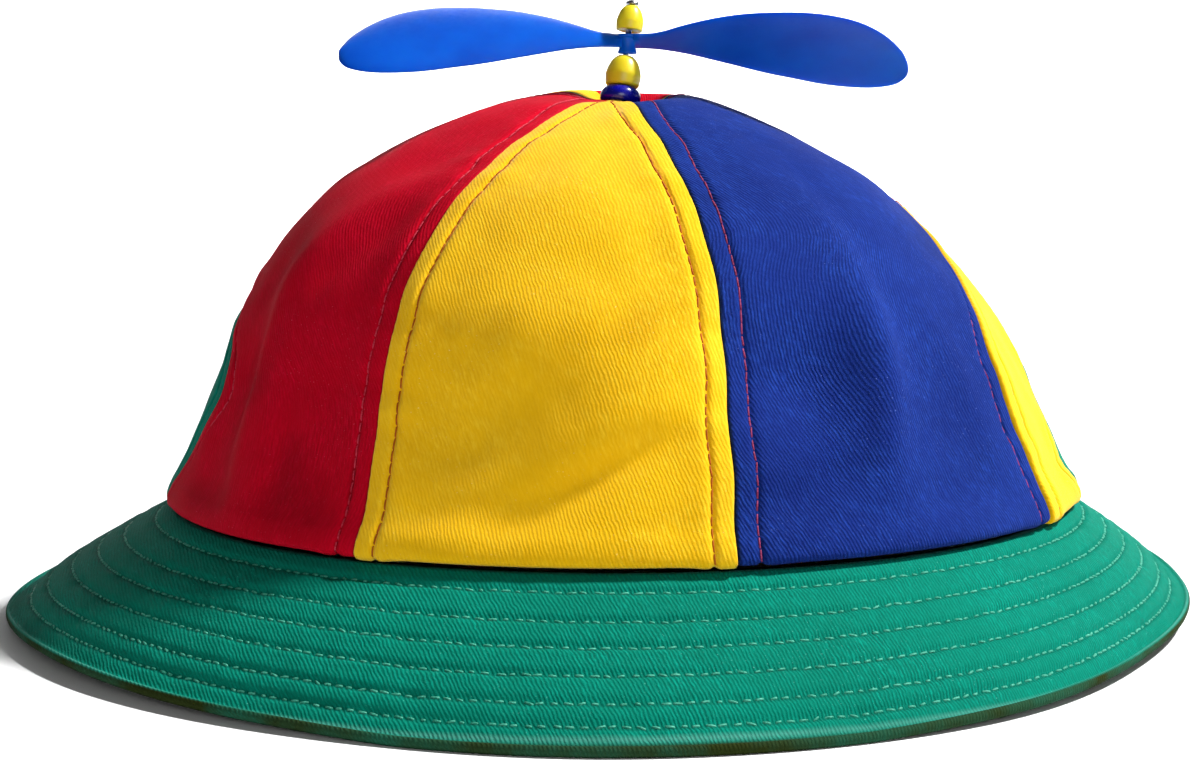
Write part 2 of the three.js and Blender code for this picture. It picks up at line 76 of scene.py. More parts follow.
HOLE_RADIUS = PIN_RADIUS + CLEARANCE
HUB_ABOVE_BLADES = 1.5
HUB_BELOW_BLADES = 2.7
HUB_FLARE_RADIUS = 2
HUB_WAIST_RADIUS = 1.5
HUB_LIP = 0.5
HUB_NECK_SHARE = 0.35
PROPELLER_LEAN = math.radians(1.9)
BLADE_LENGTH = 59.2
BLADE_CHORD = 25
BLADE_THICKNESS = 1.3
BLADE_CAMBER = 1.5
BLADE_PITCH = math.radians(33)
BLADE_ROOT_CHORD = 0.2

# The crown's axis in plan, the button's height above the cloth's dimple, how far the lower bead sinks on to
# the button, and the flat top of the button's dome
CROWN_AXIS = np.array([4.602, -0.18, 0.0])
BUTTON_SEAT = 0.34
BEAD_SNUG = 0.22
DOME_TOP_RADIUS = 2.0

# The crown's outline: height is a share of its height, and the rest are shares of its radius
CROWN_RINGS = np.array([
    # height, radius, forward, fuller
    (0.0, 1.0, 0.0, 0.0),
    (0.02, 1.014, 0.0, 0.0),
    (0.055, 1.004, 0.0, 0.0),
    (0.1, 0.981, 0.0, 0.0),
    (0.2, 0.944, 0.0, 0.0),
    (0.345, 0.886, 0.005, 0.0),
    (0.49, 0.815, 0.012, 0.016),
    (0.64, 0.713, 0.021, 0.03),
    (0.765, 0.592, 0.03, 0.038),
    (0.865, 0.437, 0.039, 0.043),
    (0.935, 0.287, 0.046, 0.04),
    (0.983, 0.14, 0.051, 0.02),
    (1.0, 0.0, 0.053, 0.0),
])

# The panels, each with whether its edges lap over its neighbours, and the seam on its left: its turns at
# even steps from the hem to the top
PANELS = [
    # node, colour, laps over, seam
    ("crown_panel_1", "green", False,
     (-130, -130, -130, -129, -127, -125, -124, -123.5, -123, -113.2, -103.8)),
    ("crown_panel_2", "red", False,
     (-81, -74.5, -70, -78.5, -90, -101, -107, -113, -121, -112, -103)),
    ("crown_panel_3", "yellow", True,
     (-30.5, -30.6, -32.1, -32.7, -32.7, -32.3, -30.9, -30.2, -28.5, -29, -35)),
    ("crown_panel_4", "blue", False,
     (12.5, 12.6, 13.2, 14.2, 14.3, 13.8, 12.9, 11.2, 7.8, 8, 10)),
    ("crown_panel_5", "yellow", True,
     (60.5, 60.6, 60.8, 64.3, 76.5, 101, 108, 115, 123, 114, 104)),
    ("crown_panel_6", "green", False,
     (80, 76, 84, 94, 100, 106, 116, 121, 125, 115, 104.8)),
    ("crown_panel_7", "red", False,
     (130, 130, 130, 130, 130, 130, 130, 130, 128, 116.2, 105.8)),
    ("crown_panel_8", "yellow", True,
     (180, 180, 181, 184, 189, 194, 200, 207, 212, 211, 204)),
]

# Soft dents, and ridges where deep is negative: wide and tall are shares of the crown's radius
DENTS = [
    # turn, height, wide, tall, slant, deep
    (-18, 0.24, 0.16, 0.14, 0, 0.7),
    (-2, 0.2, 0.3, 0.05, 28, 0.5),
    (2, 0.32, 0.24, 0.07, 24, -0.4),
    (-8, 0.62, 0.2, 0.07, 0, 0.4),
    (26, 0.36, 0.09, 0.13, -20, 1.0),
    (35, 0.38, 0.08, 0.2, -12, -0.7),
    (46, 0.22, 0.14, 0.16, 10, 0.5),
    (-40, 0.4, 0.1, 0.3, 8, 0.5),
    (-54, 0.35, 0.1, 0.32, 12, -0.5),
    (-62, 0.3, 0.07, 0.28, 14, 0.7),
    (-50, 0.86, 0.08, 0.2, -60, 0.7),
    (80, 0.4, 0.12, 0.22, 0, 0.5),
    (128, 0.34, 0.2, 0.14, 12, 0.7),
    (172, 0.42, 0.12, 0.24, -10, 0.7),
    (216, 0.3, 0.22, 0.12, 14, 0.6),
    (-98, 0.36, 0.12, 0.26, 6, 0.6),
]

# Smaller folds and creases of the cloth, in the same terms, with deep in millimetres
FOLDS = [
    # turn, height, wide, tall, slant, deep
    (-18, 0.3, 0.22, 0.1, 6, 1.1),
    (-14, 0.5, 0.22, 0.06, -4, -0.5),
    (0, 0.22, 0.14, 0.03, 27, 0.8),
    (6, 0.13, 0.16, 0.04, 22, -0.5),
    (-20, 0.12, 0.16, 0.03, 10, 0.5),
    (9, 0.36, 0.04, 0.03, 0, 0.5),
    (6, 0.42, 0.09, 0.03, 18, -0.3),
    (17.5, 0.41, 0.11, 0.13, -12, 3.6),
    (35.5, 0.4, 0.05, 0.2, -12, -2.1),
    (43, 0.5, 0.05, 0.16, -8, 0.6),
    (22, 0.15, 0.13, 0.035, 22, 1.1),
    (26, 0.24, 0.12, 0.05, 14, -0.5),
    (52, 0.3, 0.045, 0.2, 6, -0.6),
    (40, 0.12, 0.12, 0.03, 12, 0.4),
    (44, 0.74, 0.04, 0.12, -6, 0.5),
    (30, 0.8, 0.04, 0.1, 0, -0.3),
    (-47, 0.25, 0.035, 0.25, 10, 0.6),
    (-56, 0.3, 0.035, 0.25, 12, -0.7),
    (-65, 0.2, 0.04, 0.2, 14, 0.6),
    (-44, 0.7, 0.05, 0.2, -40, 1.3),
    (-58, 0.62, 0.05, 0.16, -36, -0.5),
    (-37, 0.14, 0.06, 0.1, -6, 0.4),
    (70, 0.3, 0.05, 0.2, 8, 0.6),
    (96, 0.3, 0.05, 0.25, -6, -0.7),
    (112, 0.5, 0.06, 0.2, 10, 0.7),
    (145, 0.3, 0.06, 0.2, -12, -0.7),
    (160, 0.2, 0.15, 0.04, 10, 0.6),
    (186, 0.55, 0.06, 0.16, 16, 0.7),
    (205, 0.25, 0.05, 0.2, -8, -0.6),
    (238, 0.35, 0.05, 0.22, 6, 0.7),
    (256, 0.22, 0.12, 0.04, -14, 0.6),
    (268, 0.5, 0.05, 0.16, 10, -0.3),
]

# The brim's wavy edge: reach is a share of its width and drop a share of its drop
BRIM_WAVES = np.array([
    # reach, drop, every 30 degrees from the back
    (1.0, 1.03),
    (1.04, 1.0),
    (1.06, 0.93),
    (1.0, 0.94),
    (0.89, 0.9),
    (0.89, 0.96),
    (0.99, 1.04),
    (0.86, 0.97),
    (0.64, 0.93),
    (0.72, 0.9),
    (0.97, 0.87),
    (1.02, 0.98),
])

# A bead's outline and the pin's head, as shares of height and radius
EGG = [(0.0, 0.95), (0.2, 0.99), (0.38, 1.0), (0.66, 0.87), (0.86, 0.7), (1.0, 0.47)]
PIN_HEAD = [(0.0, 1.0), (0.5, 0.9), (0.88, 0.55), (1.0, 0.0)]

# The pin's round foot under the cloth, as radius and height
PIN_FOOT = [(0.0, -3.0), (4.6, -3.0), (5.0, -2.6), (5.0, -2.4), (4.6, -2.0), (PIN_RADIUS, -2.0)]

# One blade from root to tip: span is a share of its length, and the rest are shares of its widest chord
BLADE_SECTIONS = [
    # span, chord, sweep
    (0.1, 0.23, -0.01),
    (0.2, 0.41, -0.05),
    (0.3, 0.6, -0.06),
    (0.4, 0.76, -0.05),
    (0.5, 0.88, -0.02),
    (0.6, 0.96, 0.01),
    (0.7, 1.0, 0.06),
    (0.8, 0.95, 0.12),
    (0.89, 0.79, 0.2),
    (0.96, 0.52, 0.28),
    (0.99, 0.27, 0.32),
    (1.0, 0.1, 0.33),
]

# Seams and stitching
STITCH_FROM_SEAM = 4.3
STITCH_PITCH = 2.3
STITCH_LENGTH = 2.22
THREAD_RADIUS = 0.18
BRIM_STITCH_LENGTH = 1.5
FRONT_PANELS = (1, 2, 3)
FRONT_ROW_END = 0.945
BACK_ROW_END = 0.86
NARROW_TIP = 4.5

# The brim's rows of stitching, as shares of the way from the hem to its edge, and the turn and width of
# the front stretch where its edge is most worn and darkest with painted shade
BRIM_ROWS = (0.12, 0.31, 0.47, 0.63, 0.78, 0.885)
BRIM_WEAR_AND_SHADE_TURN = 4
BRIM_WEAR_AND_SHADE_SPREAD = 34

# The cloth sinks in front of the button, and a little at the back right
SUMMIT_DROP = 2.4
SUMMIT_BACK_DROP = 0.5
SUMMIT_UP = 0.935

# Twill: the ribs lean to the left as they rise
RIB_PITCH = 0.7
RIB_TURN = math.radians(21)

# Fineness of the meshes
PANEL_ROWS = 170
EDGE_COLUMNS = (0, 0.3, 0.6, 0.95, 1.4, 2.0, 2.7, 3.3, 3.75, 4.05, 4.3, 4.55, 4.85, 5.3, 6.0, 7.0)
MIDDLE_COLUMNS = 30
BRIM_COLUMNS = 720
BRIM_TOP_POINTS = 78
BRIM_UNDER_POINTS = 26
BRIM_NOSE_POINTS = 9

# Cloths: colour, dark and light of the ribs, and lint, each from 0 to 255; then the ribs' contrast, their
# depth in metres, and the weight of the sheen
TWILLS = {
    "yellow": ((236, 182, 6), (208, 144, 0), (246, 204, 44), (250, 232, 160), 0.45, 0.0001, 0.4),
    "red": ((188, 0, 28), (148, 0, 18), (214, 8, 48), (232, 110, 132), 0.6, 0.00012, 0.02),
    "blue": ((16, 38, 114), (5, 13, 66), (30, 64, 156), (110, 134, 212), 0.95, 0.00019, 0.08),
    "green": ((0, 118, 97), (0, 82, 67), (0, 146, 124), (112, 204, 188), 0.6, 0.00013, 0.02),
    "brim": ((0, 118, 97), (0, 82, 67), (0, 146, 124), (112, 204, 188), 0.95, 0.0002, 0.01),
}
# The brim's edge and underside: worn colour darkened further with painted shade, from 0 to 255
BRIM_EDGE_WEAR_AND_SHADE = (36, 46, 14)

# Threads: colour and its light, from 0 to 255
THREADS = {
    "yellow": ((140, 54, 0), (180, 92, 10)),
    "blue": ((100, 8, 44), (160, 62, 104)),
    "red": ((160, 4, 28), (204, 62, 84)),
    "green": ((14, 122, 98), (78, 172, 148)),
}

# Plastics: colour and deeper colour, from 0 to 255; then roughness, flow marks, shine, and how much light
# soaks in
PLASTICS = {
    "button": ((0, 0, 166), (0, 0, 134), 0.2, 0.02, 0.6, 0.0),
    "bead": ((222, 204, 34), (212, 188, 18), 0.3, 0.05, 0.4, 0.5),
    "propeller": ((0, 86, 194), (0, 66, 172), 0.32, 0.1, 0.2, 0.6),
}


def smooth(value, low, high):
    """Goes from 0 to 1 as the value goes from low to high."""
    t = np.clip((value - low) / (high - low), 0, 1)
    return t * t * (3 - 2 * t)


def bump(value, width):
    """1 where the value is 0, falling softly to 0 within about twice the width."""
    return np.exp(-((value / width) ** 2))


def catmull(a, b, c, d, t):
    """A smooth curve from b to c as t goes from 0 to 1, with a before them and d after."""
    rise, fall = (c - a) / 2, (d - b) / 2
    return ((2 * (b - c) + rise + fall) * t + 3 * (c - b) - 2 * rise - fall) * t * t + rise * t + b


def add_object(name, data):
    """A new object of the scene."""
    made = bpy.data.objects.new(name, data)
    bpy.context.scene.collection.objects.link(made)
    return made


# Crown


def outline(steps=3000):
    """The crown's outline as (arc length share, radius, height), on the same curve as the solids."""
    points = CROWN_RINGS[:, [1, 0]] * (CROWN_RADIUS, CROWN_HEIGHT)
    last = len(points) - 1
    place = np.linspace(0, last, steps)
    first = np.minimum(place.astype(int), last - 1)
    t = (place - first)[:, None]
    a, d = points[np.maximum(first - 1, 0)], points[np.minimum(first + 2, last)]
    line = catmull(a, points[first], points[first + 1], d, t)
    length = np.concatenate([[0], np.cumsum(np.linalg.norm(np.diff(line, axis=0), axis=1))])
    return length / length[-1], line, length[-1]


OUTLINE_UP, OUTLINE, SEAM_LENGTH = outline()
OUTLINE_SLOPE = np.gradient(OUTLINE, axis=0)
OUTLINE_SLOPE /= np.linalg.norm(OUTLINE_SLOPE, axis=1)[:, None]


def along_outline(values, up):
    """Reads values of the outline at shares of its length."""
    return np.interp(up, OUTLINE_UP, values)


def crown_column(column, height):
    """Reads a column of the crown's table at a height."""
    return np.interp(height, CROWN_RINGS[:, 0], CROWN_RINGS[:, column])


def dents(turn, height):
    """How deep the soft dents and the smaller folds are, in millimetres."""
    depth = np.zeros_like(turn)
    folds = [(*fold[:5], fold[5] / DENT_DEPTH) for fold in FOLDS]
    for at, level, wide, tall, slant, deep in DENTS + folds:
        across = np.radians((turn - at + 540) % 360 - 180) * crown_column(1, height)
        up = (height - level) * CROWN_HEIGHT / CROWN_RADIUS
        lean = math.radians(slant)
        along = (across * math.cos(lean) + up * math.sin(lean)) / wide
        over = (up * math.cos(lean) - across * math.sin(lean)) / tall
        depth += deep * np.exp(-along * along - over * over)
    return DENT_DEPTH * depth * smooth(height, 0, DENT_FREE_HEIGHT)


def crown_point(turn, up, out):
    """Points of the crown in millimetres: up runs from the hem to the top, and out is outwards."""
    ring_radius = along_outline(OUTLINE[:, 0], up)
    ring_height = along_outline(OUTLINE[:, 1], up)
    slope_x = along_outline(OUTLINE_SLOPE[:, 0], up)
    slope_y = along_outline(OUTLINE_SLOPE[:, 1], up)
    height = ring_height / CROWN_HEIGHT
    angle = np.radians(turn)
    fuller = -crown_column(3, height) * CROWN_RADIUS * np.sin(angle)
    inward = dents(turn, height) - out
    radius = np.maximum(ring_radius + fuller, CLOTH_HOLE_RADIUS) - inward * slope_y
    radius = np.maximum(radius, CLOTH_HOLE_RADIUS)
    x = radius * np.sin(angle)
    y = -radius * np.cos(angle)
    tilt = x * math.tan(PIN_LEAN_RIGHT) + y * math.tan(PIN_LEAN_BACK)
    fade = np.exp(-((radius / DIMPLE_REACH) ** 4))
    z = ring_height + inward * slope_x - (DIMPLE_DEPTH + tilt) * fade + BRIM_DROP
    y = y - crown_column(2, height) * CROWN_RADIUS
    return np.stack([x, y, z], -1) + CROWN_AXIS


def seam_turn(place, up):
    """The turn of the seam on the left of a panel, with a slight unevenness from the sewing."""
    seed = place % len(PANELS)
    seam = np.array(PANELS[seed][3], float) + 360 * (place // len(PANELS))
    last = len(seam) - 1
    up = np.asarray(up, float)
    first = np.minimum((up * last).astype(int), last - 1)
    parts = [seam[np.clip(first + step, 0, last)] for step in (-1, 0, 1, 2)]
    turn = catmull(*parts, up * last - first)
    along = up * SEAM_LENGTH
    uneven = 0.22 * np.sin(along / 7.3 + seed * 1.7) + 0.16 * np.sin(along / 3.1 + seed * 2.9)
    radius = np.maximum(along_outline(OUTLINE[:, 0], up), 12)
    return turn + np.degrees(uneven / radius)


def edge_relief(distance, along, laps, seed):
    """How far the cloth stands out near a seam: turned edge, doubled band, stitched dip and puckers."""
    band = 0.62 if laps else 0.12
    drop = 1.5 if laps else 1.0
    turned = -drop * (1 - np.sqrt(1 - np.clip(1 - distance / (0.75 if laps else 0.9), 0, 1) ** 2))
    doubled = band * (1 - smooth(distance, 3.0, 9.0))
    dip = -0.55 * bump(distance - STITCH_FROM_SEAM, 0.55)
    puff = 0.22 * bump(distance - 7.2, 2.6)
    tug = np.sin(2 * math.pi * along / STITCH_PITCH + seed)
    tugged = 0.06 * tug * bump(distance - STITCH_FROM_SEAM, 1.2)
    if laps:
        tugged = tugged + 0.05 * tug * bump(distance, 1.3)
    pucker = np.sin(along / 1.9 + 2 * np.sin(along / 8.3 + seed)) * np.sin(along / 5.7 + 1.3 * seed)
    puckered = 0.2 * pucker * bump(distance - STITCH_FROM_SEAM, 4.5)
    return turned + doubled + dip + puff + tugged + puckered


def waves(points):
    """Gentle uneven waves of worn cloth, in millimetres outwards."""
    heights = []
    for point in points.reshape(-1, 3):
        broad = noise.noise(Vector(point * 0.045))
        small = noise.noise(Vector(point * 0.11 + 7.0))
        heights.append(0.4 * broad + 0.26 * small)
    return np.array(heights).reshape(points.shape[:-1])


def summit(turn, up):
    """How far out the cloth stands by the button: below 0 in front of it and at the back right."""
    wrapped = (turn + 540) % 360 - 180
    front = 1 - smooth(np.abs(wrapped), 25, 140)
    slope = np.where(up < SUMMIT_UP, bump(up - SUMMIT_UP, 0.06), bump(up - SUMMIT_UP, 0.032))
    behind = -SUMMIT_BACK_DROP * bump(wrapped - 140, 45) * bump(up - 0.92, 0.05)
    return behind - SUMMIT_DROP * front * slope


def panel_surface(place, turn, up):
    """The outside of a panel, with its seams' relief."""
    laps = PANELS[place][2]
    radius = along_outline(OUTLINE[:, 0], up)
    along = up * SEAM_LENGTH
    from_left = np.radians(turn - seam_turn(place, up)) * radius
    from_right = np.radians(seam_turn(place + 1, up) - turn) * radius
    relief = edge_relief(from_left, along, laps, place) + edge_relief(from_right, along, laps, place + 0.5)
    hem_round = 1 - np.sqrt(1 - np.clip(1 - along / 2.2, 0, 1) ** 2)
    calm = 1 - 0.95 * smooth(up, 0.78, 0.93)
    waving = waves(crown_point(turn, up, np.zeros_like(relief))) * calm * smooth(up, 0.0, 0.06)
    return crown_point(turn, up, relief * calm + waving + summit(turn, up) - 1.6 * hem_round)


def panel_columns(half_width):
    """Places across half a panel, from its seam to its middle, close together near the seam."""
    reach = EDGE_COLUMNS[-1]
    scale = min(1.0, 0.6 * half_width / reach)
    edge = np.array(EDGE_COLUMNS) * scale
    return np.concatenate([edge, np.linspace(edge[-1], half_width, MIDDLE_COLUMNS // 2 + 1)[1:]])


def grid_mesh(name, points, uv, tone, ring=False):
    """A mesh from a grid of points in millimetres, with the flat cloth's coordinates and a tone on it."""
    rows, columns = points.shape[:2]
    mesh = bpy.data.meshes.new(name)
    index = np.arange(rows * columns).reshape(rows, columns)
    if ring:
        index = np.concatenate([index, index[:, :1]], 1)
        index = np.concatenate([index, index[:1]], 0)
    quads = np.stack([index[:-1, :-1], index[:-1, 1:], index[1:, 1:], index[1:, :-1]], -1).reshape(-1, 4)
    mesh.from_pydata((points.reshape(-1, 3) * MM).tolist(), [], quads.tolist())
    layer = mesh.uv_layers.new(name="cloth")
    loops = np.empty(len(mesh.loops), np.int32)
    mesh.loops.foreach_get("vertex_index", loops)
    layer.data.foreach_set("uv", (uv.reshape(-1, 2)[loops] * MM).astype(np.float32).ravel())
    mesh.attributes.new("tone", "FLOAT", "POINT").data.foreach_set("value", tone.ravel().astype(np.float32))
    mesh.shade_smooth()
    piece = add_object(name, mesh)
    return piece


def make_panel(place, material):
    """One gore: its surface between two seams, thickened inwards."""
    node, tint = PANELS[place][:2]
    even = np.linspace(0, 1, PANEL_ROWS + 1)
    ups = even - 0.55 * np.sin(2 * math.pi * even) / (2 * math.pi)
    turns, widths = [], []
    for up in ups:
        radius = max(float(along_outline(OUTLINE[:, 0], up)), CLOTH_HOLE_RADIUS)
        left, right = float(seam_turn(place, up)), float(seam_turn(place + 1, up))
        half_width = math.radians(right - left) / 2 * radius
        half = panel_columns(half_width)
        across = np.concatenate([half, 2 * half_width - half[-2::-1]])
        turns.append(left + np.degrees(across / radius))
        widths.append(across - half_width)
    turns, widths = np.array(turns), np.array(widths)
    up_grid = np.repeat(ups[:, None], turns.shape[1], 1)
    points = panel_surface(place, turns, up_grid)
    smoothly = crown_point(turns, up_grid, np.zeros_like(turns))
    reach, plain_reach = (np.linalg.norm(p[..., :2] - CROWN_AXIS[:2], axis=-1) for p in (points, smoothly))
    # How far the cloth stands out from its smooth shape: the twill paints shade where it sinks and wear where
    # it stands out
    tone = reach - plain_reach
    uv = np.stack([widths + 200 * place, up_grid * SEAM_LENGTH], -1)
    piece = grid_mesh("cloth_" + node, points, uv, tone)
    thicken = piece.modifiers.new("cloth", "SOLIDIFY")
    thicken.thickness = CLOTH * MM
    thicken.offset = -1
    piece.data.materials.append(material)
    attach(piece, "hat")
    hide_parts(node)
    return piece


# Brim


def around(column, turn):
    """Reads the brim's wave table at a turn."""
    place = ((turn + 180) % 360) / 30
    first = np.floor(place).astype(int)
    rows = BRIM_WAVES[:, column]
    count = len(rows)
    parts = [rows[(first + step) % count] for step in (-1, 0, 1, 2)]
    return catmull(*parts, place - first)


def brim_edge(turn):
    """The radius and the lift of the brim's edge."""
    radius = CROWN_RADIUS + BRIM_WIDTH * around(0, turn)
    lift = np.maximum(0, BRIM_DROP * (1 - around(1, turn)))
    return radius, lift


def brim_quilt(share, turn):
    """The height of the brim's quilted cloth, below 0 along its rows of stitching, and a mask for painted
    shade in the rows' grooves.
    """
    slope = BRIM_WIDTH * 1.18
    depth = np.zeros_like(share)
    groove_shade = np.zeros_like(share)
    for number, row in enumerate(BRIM_ROWS):
        away = (share - row) * slope
        groove_shade += bump(away - 0.25, 0.6)
        depth += (0.62 + 0.12 * np.sin(turn / 9 + number)) * bump(away, 0.9)
        depth += 0.13 * np.sin(turn * 1.31 + 3 * number) * np.sin(turn / 6.7 + number) * bump(away, 2.4)
        depth += 0.1 * np.sin(turn * 0.73 + 5 * number) * bump(away - 1.3, 1.1)
    return -depth, groove_shade


def brim_top(turn, share):
    """The brim's upper side: share runs from the crown's hem to where the edge starts to turn under."""
    radius, lift = brim_edge(turn)
    start_r, start_z = CROWN_RADIUS, BRIM_DROP - CLEARANCE
    end_r, end_z = radius - BRIM_WALL / 2, lift + BRIM_WALL
    r = start_r + (end_r - start_r) * share
    straight = start_z + (end_z - start_z) * share
    foot = 0.9 * smooth(share, 0.72, 1.0) * (1 - smooth(share, 0.97, 1.02))
    z = straight + BRIM_BOW * 4 * share * (1 - share) - foot
    out = brim_quilt(share, turn)[0]
    slope_r, slope_z = end_r - start_r, end_z - start_z
    length = np.hypot(slope_r, slope_z)
    return r - out * slope_z / length, z + out * slope_r / length


def brim_section(turn):
    """The brim's closed outline at each turn, as radius and height, from the collar over the top and back."""
    radius, lift = brim_edge(turn)
    share = np.linspace(0, 1, BRIM_TOP_POINTS)[:, None] + 0 * turn
    top_r, top_z = brim_top(turn + 0 * share, share)
    nose = np.radians(np.linspace(75, -90, BRIM_NOSE_POINTS))[:, None]
    nose_r = radius - BRIM_WALL / 2 + BRIM_WALL / 2 * np.cos(nose)
    nose_z = lift + BRIM_WALL / 2 + BRIM_WALL / 2 * np.sin(nose)
    back = np.linspace(1, 0, BRIM_UNDER_POINTS)[1:, None] + 0 * turn
    end_r, end_z = radius - BRIM_FOOT, lift
    start_r, start_z = CROWN_RADIUS - 1.1, BRIM_DROP - CLEARANCE - BRIM_WALL
    under_r = start_r + (end_r - start_r) * back
    under_z = start_z + (end_z - start_z) * back + BRIM_BOW * 4 * back * (1 - back)
    collar_r = np.array([CROWN_RADIUS - BRIM_SEAM_DEPTH] * 2)[:, None] + 0 * turn
    collar_z = np.array([BRIM_DROP - CLEARANCE - BRIM_WALL, BRIM_DROP - CLEARANCE])[:, None] + 0 * turn
    r = np.concatenate([top_r, nose_r, under_r, collar_r])
    z = np.concatenate([top_z, nose_z, under_z, collar_z])
    return r, z


def make_brim(material):
    """The brim as one closed ring of cloth, with a tone for painted shade along its grooves and for its edge
    and underside, which are worn and darkened with painted shade.
    """
    turn = np.linspace(-180, 180, BRIM_COLUMNS, endpoint=False)[None, :]
    r, z = brim_section(turn)
    angle = np.radians(turn)
    points = np.stack([r * np.sin(angle), -r * np.cos(angle), z], -1) + CROWN_AXIS
    slope = math.hypot(BRIM_WIDTH, BRIM_DROP) / BRIM_WIDTH
    along = np.concatenate([[0 * r[0]], np.cumsum(np.hypot(np.diff(r, axis=0), np.diff(z, axis=0)), 0)])
    flat_radius = CROWN_RADIUS * slope + along
    flat_angle = angle / slope
    uv = np.stack([flat_radius * np.sin(flat_angle), -flat_radius * np.cos(flat_angle)], -1)
    # The edge's nose and underside take a darker tint, partly wear and partly painted shade, reaching
    # furthest up at the front
    front = bump(turn - BRIM_WEAR_AND_SHADE_TURN, BRIM_WEAR_AND_SHADE_SPREAD)
    rim = along[BRIM_TOP_POINTS - 1]
    edge_start = rim - (rim - along[BRIM_TOP_POINTS - 8]) * front
    edge = smooth(along, edge_start, along[BRIM_TOP_POINTS + 3])
    worn = 0.72 + 0.28 * front
    share = np.linspace(0, 1, BRIM_TOP_POINTS)[:, None] + 0 * turn
    tone = edge * worn
    # Painted shade along the grooves beside the rows of stitching
    tone[:BRIM_TOP_POINTS] -= 0.4 * brim_quilt(share, turn + 0 * share)[1]
    piece = grid_mesh("cloth_brim", points[::-1], uv[::-1], tone[::-1], ring=True)
    piece.data.materials.append(material)
    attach(piece, "hat")
    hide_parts("brim")
    return piece


# Stitching


def stitch_shape():
    """One stitch along X from -0.5 to 0.5, sunk at both ends: its points and faces, in thread radii."""
    sides = 6
    rings = [
        # along, rise, size
        (-0.5, -0.9, 0.6),
        (-0.4, 0.1, 0.95),
        (0.0, 0.35, 1.0),
        (0.4, 0.1, 0.95),
        (0.5, -0.9, 0.6),
    ]
    points, faces = [], []
    for along, rise, size in rings:
        for side in range(sides):
            angle = 2 * math.pi * side / sides
            points.append((along, size * math.cos(angle), rise + 0.8 * size * math.sin(angle)))
    for ring in range(len(rings) - 1):
        for side in range(sides):
            a, b = ring * sides + side, ring * sides + (side + 1) % sides
            faces.append((a, a + sides, b + sides, b))
    faces.append(tuple(range(sides)))
    faces.append(tuple(len(points) - 1 - side for side in range(sides)))
    return np.array(points), faces


STITCH_POINTS, STITCH_FACES = stitch_shape()


def stitch_row(line, normals, length, seed, uneven=1.0, thick=1.0):
    """Stitches along a line of points in millimetres. Returns their points, one stitch after another."""
    steps = np.linalg.norm(np.diff(line, axis=0), axis=1)
    places = np.concatenate([[0], np.cumsum(steps)])
    count = int(places[-1] / STITCH_PITCH)
    rng = np.random.default_rng(seed)
    middles = (np.arange(count) + 0.5) * places[-1] / count + rng.normal(0, 0.06 * uneven, count)

    def at(values, where):
        return np.stack([np.interp(where, places, values[:, axis]) for axis in range(3)], -1)

    ends = length / 2 * np.clip(1 + rng.normal(0, 0.07 * uneven, count), 0.55, 1.2)
    start, finish = at(line, middles - ends), at(line, middles + ends)
    forward = finish - start
    lengths = np.linalg.norm(forward, axis=1, keepdims=True)
    forward = forward / lengths
    up = at(normals, middles)
    side = np.cross(up, forward)
    side /= np.linalg.norm(side, axis=1, keepdims=True)
    up = np.cross(forward, side)
    forward = forward + side * rng.normal(0, 0.06 * uneven, count)[:, None]
    centre = at(line, middles)
    shape = STITCH_POINTS
    return (
        centre[:, None]
        + forward[:, None] * (shape[:, 0:1] * lengths[:, None])
        + side[:, None] * (shape[:, 1:2] * THREAD_RADIUS * thick)
        + up[:, None] * (shape[:, 2:3] * THREAD_RADIUS * thick)
    ).reshape(-1, 3)


def make_stitches(name, rows, material):
    """One piece of all the stitches in some rows."""
    points = np.concatenate(rows)
    size = len(STITCH_POINTS)
    faces = []
    for first in range(0, len(points), size):
        faces.extend(tuple(first + corner for corner in face) for face in STITCH_FACES)
    mesh = bpy.data.meshes.new(name)
    mesh.from_pydata((points * MM).tolist(), [], faces)
    mesh.shade_smooth()
    mesh.materials.append(material)
    piece = add_object(name, mesh)
    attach(piece, "hat")
    return piece


def panel_stitches(place, left):
    """The row of stitches beside one of a panel's seams. It ends where the panel's tip is narrow."""
    ups = np.linspace(0.012, FRONT_ROW_END if place in FRONT_PANELS else BACK_ROW_END, 700)
    radius = along_outline(OUTLINE[:, 0], ups)
    width = np.radians(seam_turn(place + 1, ups) - seam_turn(place, ups)) * radius
    narrow = np.flatnonzero(width < NARROW_TIP)
    kept = narrow[0] if len(narrow) else len(ups)
    ups, radius, width = ups[:kept], radius[:kept], width[:kept]
    inset = np.degrees(np.minimum(STITCH_FROM_SEAM, 0.38 * width) / radius)
    turn = seam_turn(place, ups) + inset if left else seam_turn(place + 1, ups) - inset
    line = panel_surface(place, turn, ups)
    beside = panel_surface(place, turn + np.degrees(0.4 / radius), ups)
    forward = np.gradient(line, axis=0)
    normals = np.cross(beside - line, forward)
    normals /= np.linalg.norm(normals, axis=1, keepdims=True)
    return stitch_row(line + normals * 0.1, normals, STITCH_LENGTH, 10 * place + left)


def brim_stitches(number):
    """One ring of stitches round the brim."""
    turn = np.linspace(-180, 180, 2400)
    share = np.full_like(turn, BRIM_ROWS[number])
    angle = np.radians(turn)

    def at(where):
        r, z = brim_top(turn, where)
        return np.stack([r * np.sin(angle), -r * np.cos(angle), z], -1) + CROWN_AXIS

    line, beyond = at(share), at(share + 0.004)
    normals = np.cross(np.gradient(line, axis=0), line - beyond)
    normals /= np.linalg.norm(normals, axis=1, keepdims=True)
    return stitch_row(line + normals * 0.02, normals, BRIM_STITCH_LENGTH, 100 + number, 3.0, 1.35)


# Hard pieces on the pin


